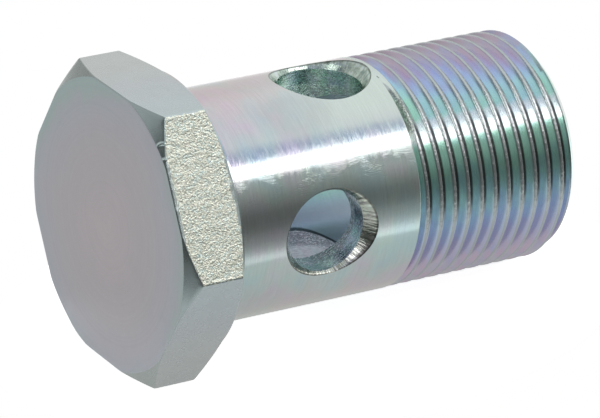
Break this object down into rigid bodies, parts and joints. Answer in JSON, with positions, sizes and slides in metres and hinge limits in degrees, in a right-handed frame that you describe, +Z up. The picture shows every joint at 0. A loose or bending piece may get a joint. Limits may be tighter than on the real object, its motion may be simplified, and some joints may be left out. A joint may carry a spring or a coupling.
{
  "type": "banjo bolt",
  "caption": "Hollow hexagon bolt with staggered, countersunk cross drillings that open into a blind axial bore, for clamping a banjo fitting.",
  "frame": {"origin": "centre of the bearing face under the head, on the bolt's axis", "axes": "+X along the bolt's axis from the head towards the thread's end; +Z up, square to two flats of the hexagon; the first cross drilling runs along Y and the second along Z"},
  "size_m": [0.0446, 0.0312, 0.027],
  "materials": {
    "zinc_plate": "turned steel with bright, faintly iridescent zinc plating"
  },
  "bodies": {
    "root": {"banjo_bolt": "zinc_plate"}
  },
  "joints": []
}
